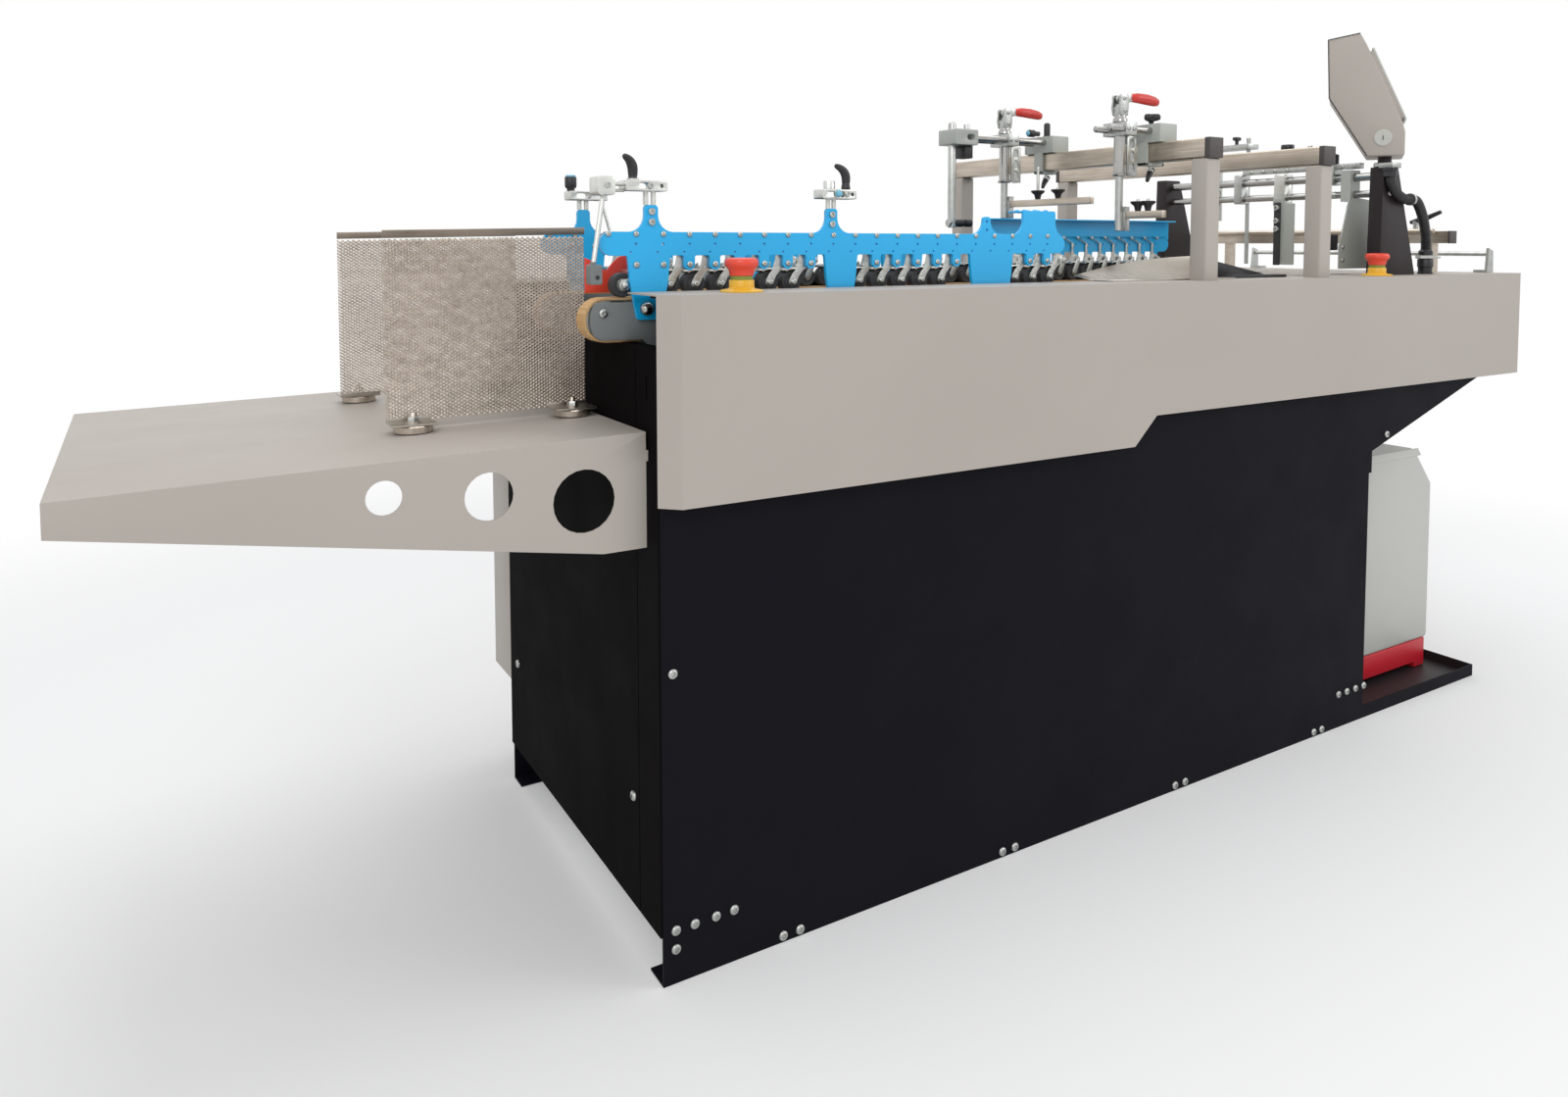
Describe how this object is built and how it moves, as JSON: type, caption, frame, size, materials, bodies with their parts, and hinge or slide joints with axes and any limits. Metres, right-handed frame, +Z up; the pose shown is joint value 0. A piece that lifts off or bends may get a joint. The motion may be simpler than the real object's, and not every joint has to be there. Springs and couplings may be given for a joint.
{
  "type": "folder gluer",
  "caption": "floor-standing machine that folds carton blanks between ploughs, belts and sprung wheels, with a delivery tray and a swivel console",
  "frame": {"origin": "on the floor, under the centre of the whole machine's box", "axes": "+X runs along the machine from the delivery tray to the feeding end, +Y from the operator's front side to the rear, +Z up"},
  "size_m": [2.701, 0.809, 1.3953],
  "materials": {
    "black_frame": "satin black powder coat",
    "grey_sheet": "satin warm grey powder coat",
    "blue_plate": "gloss blue paint on laser-cut plate",
    "grey_plate": "satin dark grey paint",
    "bare_stainless": "brushed stainless steel",
    "machined_aluminium": "machined aluminium",
    "zinc_steel": "bright zinc plate",
    "black_grip": "matt black plastic",
    "red_grip": "red plastic",
    "belt_fabric": "tan woven belt",
    "black_rubber": "black rubber tyre",
    "pump_paint": "light grey paint",
    "pump_red": "red paint",
    "hose_plastic": "ribbed black plastic hose"
  },
  "bodies": {
    "frame": {"front_side_plate": "black_frame", "rear_side_plate": "black_frame", "left_end_panel": "black_frame", "right_end_panel": "black_frame", "base_tray": "black_frame", "front_top_cover": "grey_sheet", "rear_top_cover": "grey_sheet", "rear_drive_cover": "grey_sheet", "feed_table": "grey_sheet", "delivery_tray": "grey_sheet", "pump_casing": "pump_paint", "pump_base": "pump_red", "guide_shaft": "zinc_steel", "drive_motor": "black_frame", "gantry_1_front_post": "grey_sheet", "gantry_1_rear_post": "grey_sheet", "gantry_1_beam": "bare_stainless", "gantry_2_front_post": "grey_sheet", "gantry_2_rear_post": "grey_sheet", "gantry_2_beam": "bare_stainless", "console_stand": "black_frame", "rear_feeder_bracket": "black_frame", "upper_cross_shaft": "bare_stainless", "lower_cross_shaft": "bare_stainless", "infeed_rail": "bare_stainless", "end_stop_rod": "zinc_steel", "lift_plough": "black_grip", "fold_plough": "bare_stainless", "conduit": "hose_plastic"},
    "front_carrier": {"front_upper_carrier": "blue_plate", "front_lower_carrier": "grey_plate", "front_belt": "belt_fabric", "front_clamp_block": "machined_aluminium", "mid_clamp_block": "machined_aluminium"},
    "rear_carrier": {"rear_upper_carrier": "blue_plate", "rear_lower_carrier": "grey_plate", "rear_belt": "belt_fabric"},
    "front_nose_roller": {"front_nose_roller": "machined_aluminium"},
    "rear_nose_roller": {"rear_nose_roller": "machined_aluminium"},
    "front_drive_roller": {"front_drive_roller": "machined_aluminium"},
    "rear_drive_roller": {"rear_drive_roller": "machined_aluminium"},
    "drive_shaft": {"drive_shaft": "zinc_steel"},
    "lead_wheel_arm": {"lead_wheel_arm": "zinc_steel"},
    "lead_wheel": {"lead_wheel": "black_rubber"},
    "front_clamp_lever": {"front_clamp_lever": "black_grip"},
    "mid_clamp_lever": {"mid_clamp_lever": "black_grip"},
    "rear_clamp_knob": {"rear_clamp_knob": "black_grip"},
    "front_guide_plate": {"front_guide_plate": "bare_stainless"},
    "rear_guide_plate": {"rear_guide_plate": "bare_stainless"},
    "front_clamp_carriage": {"front_clamp_carriage": "machined_aluminium"},
    "rear_clamp_carriage": {"rear_clamp_carriage": "machined_aluminium"},
    "front_toggle_handle": {"front_toggle_handle": "red_grip"},
    "rear_toggle_handle": {"rear_toggle_handle": "red_grip"},
    "front_plunger": {"front_plunger": "zinc_steel"},
    "rear_plunger": {"rear_plunger": "zinc_steel"},
    "feed_gate": {"feed_gate": "machined_aluminium"},
    "front_side_guide": {"front_side_guide": "zinc_steel"},
    "console_case": {"console_case": "grey_sheet"},
    "left_estop_head": {"left_estop_head": "red_grip"},
    "right_estop_head": {"right_estop_head": "red_grip"}
  },
  "joints": [
    {"name": "front_carrier_slide", "type": "slide", "parent": "frame", "child": "front_carrier", "axis": [0, 1, 0], "range_m": [0, 0.04]},
    {"name": "rear_carrier_slide", "type": "slide", "parent": "frame", "child": "rear_carrier", "axis": [0, 1, 0], "range_m": [-0.04, 0.06]},
    {"name": "drive_shaft_turn", "type": "hinge", "parent": "frame", "child": "drive_shaft", "pos_m": [0.5735, -0.0805, 0.8622], "axis": [0, 1, 0], "continuous": true},
    {"name": "front_drive_roller_turn", "type": "hinge", "parent": "front_carrier", "child": "front_drive_roller", "pos_m": [0.5735, -0.2532, 0.8622], "axis": [0, 1, 0], "continuous": true},
    {"name": "rear_drive_roller_turn", "type": "hinge", "parent": "rear_carrier", "child": "rear_drive_roller", "pos_m": [0.5735, -0.0568, 0.8622], "axis": [0, 1, 0], "continuous": true},
    {"name": "front_nose_roller_turn", "type": "hinge", "parent": "front_carrier", "child": "front_nose_roller", "pos_m": [-0.7365, -0.2532, 0.8622], "axis": [0, 1, 0], "continuous": true},
    {"name": "rear_nose_roller_turn", "type": "hinge", "parent": "rear_carrier", "child": "rear_nose_roller", "pos_m": [-0.7365, -0.0568, 0.8622], "axis": [0, 1, 0], "continuous": true},
    {"name": "lead_arm_lift", "type": "hinge", "parent": "front_carrier", "child": "lead_wheel_arm", "pos_m": [-0.6795, -0.2715, 0.9408], "axis": [0, 1, 0], "range_deg": [0, 25], "stiffness_Nm_per_rad": 0.6, "springref_deg": -11.46},
    {"name": "lead_wheel_turn", "type": "hinge", "parent": "lead_wheel_arm", "child": "lead_wheel", "pos_m": [-0.7115, -0.2605, 0.9088], "axis": [0, 1, 0], "continuous": true},
    {"name": "front_clamp_lever_turn", "type": "hinge", "parent": "front_carrier", "child": "front_clamp_lever", "pos_m": [-0.7005, -0.2775, 1.06], "axis": [0, 0, 1], "range_deg": [-60, 60]},
    {"name": "mid_clamp_lever_turn", "type": "hinge", "parent": "front_carrier", "child": "mid_clamp_lever", "pos_m": [-0.362, -0.2775, 1.06], "axis": [0, 0, 1], "range_deg": [-60, 60]},
    {"name": "rear_clamp_knob_turn", "type": "hinge", "parent": "rear_carrier", "child": "rear_clamp_knob", "pos_m": [-0.7005, -0.0325, 1.055], "axis": [0, 0, 1], "range_deg": [-180, 180]},
    {"name": "front_guide_slide", "type": "slide", "parent": "frame", "child": "front_guide_plate", "axis": [0, 1, 0], "range_m": [-0.045, 0.03]},
    {"name": "rear_guide_slide", "type": "slide", "parent": "frame", "child": "rear_guide_plate", "axis": [0, 1, 0], "range_m": [-0.1, 0.08]},
    {"name": "front_carriage_slide", "type": "slide", "parent": "frame", "child": "front_clamp_carriage", "axis": [0, 1, 0], "range_m": [-0.04, 0.05]},
    {"name": "rear_carriage_slide", "type": "slide", "parent": "frame", "child": "rear_clamp_carriage", "axis": [0, 1, 0], "range_m": [-0.05, 0.05]},
    {"name": "front_toggle_lift", "type": "hinge", "parent": "front_clamp_carriage", "child": "front_toggle_handle", "pos_m": [0.2605, -0.2365, 1.227], "axis": [0, 1, 0], "range_deg": [-112, 0]},
    {"name": "rear_toggle_lift", "type": "hinge", "parent": "rear_clamp_carriage", "child": "rear_toggle_handle", "pos_m": [0.2285, 0.0385, 1.227], "axis": [0, 1, 0], "range_deg": [-112, 0]},
    {"name": "front_plunger_slide", "type": "slide", "parent": "front_clamp_carriage", "child": "front_plunger", "axis": [0, 0, 1], "range_m": [0, 0.025]},
    {"name": "rear_plunger_slide", "type": "slide", "parent": "rear_clamp_carriage", "child": "rear_plunger", "axis": [0, 0, 1], "range_m": [0, 0.025]},
    {"name": "feed_gate_slide", "type": "slide", "parent": "frame", "child": "feed_gate", "axis": [0, 1, 0], "range_m": [-0.08, 0.08]},
    {"name": "front_side_guide_slide", "type": "slide", "parent": "frame", "child": "front_side_guide", "axis": [0, 1, 0], "range_m": [-0.02, 0.06]},
    {"name": "console_swivel", "type": "hinge", "parent": "frame", "child": "console_case", "pos_m": [0.9395, -0.3295, 1.15], "axis": [0, 0, 1], "range_deg": [-45, 60]},
    {"name": "left_estop_press", "type": "slide", "parent": "frame", "child": "left_estop_head", "axis": [0, 0, 1], "range_m": [-0.005, 0], "stiffness_N_per_m": 900},
    {"name": "right_estop_press", "type": "slide", "parent": "frame", "child": "right_estop_head", "axis": [0, 0, 1], "range_m": [-0.005, 0], "stiffness_N_per_m": 900}
  ],
  "couplings": [
    {"joint": "front_drive_roller_turn", "follows": "drive_shaft_turn", "ratio": 1},
    {"joint": "rear_drive_roller_turn", "follows": "drive_shaft_turn", "ratio": 1},
    {"joint": "front_nose_roller_turn", "follows": "drive_shaft_turn", "ratio": 1},
    {"joint": "rear_nose_roller_turn", "follows": "drive_shaft_turn", "ratio": 1},
    {"joint": "front_toggle_lift", "follows": "front_plunger_slide", "rad_per_m": -76.8},
    {"joint": "rear_toggle_lift", "follows": "rear_plunger_slide", "rad_per_m": -76.8}
  ]
}
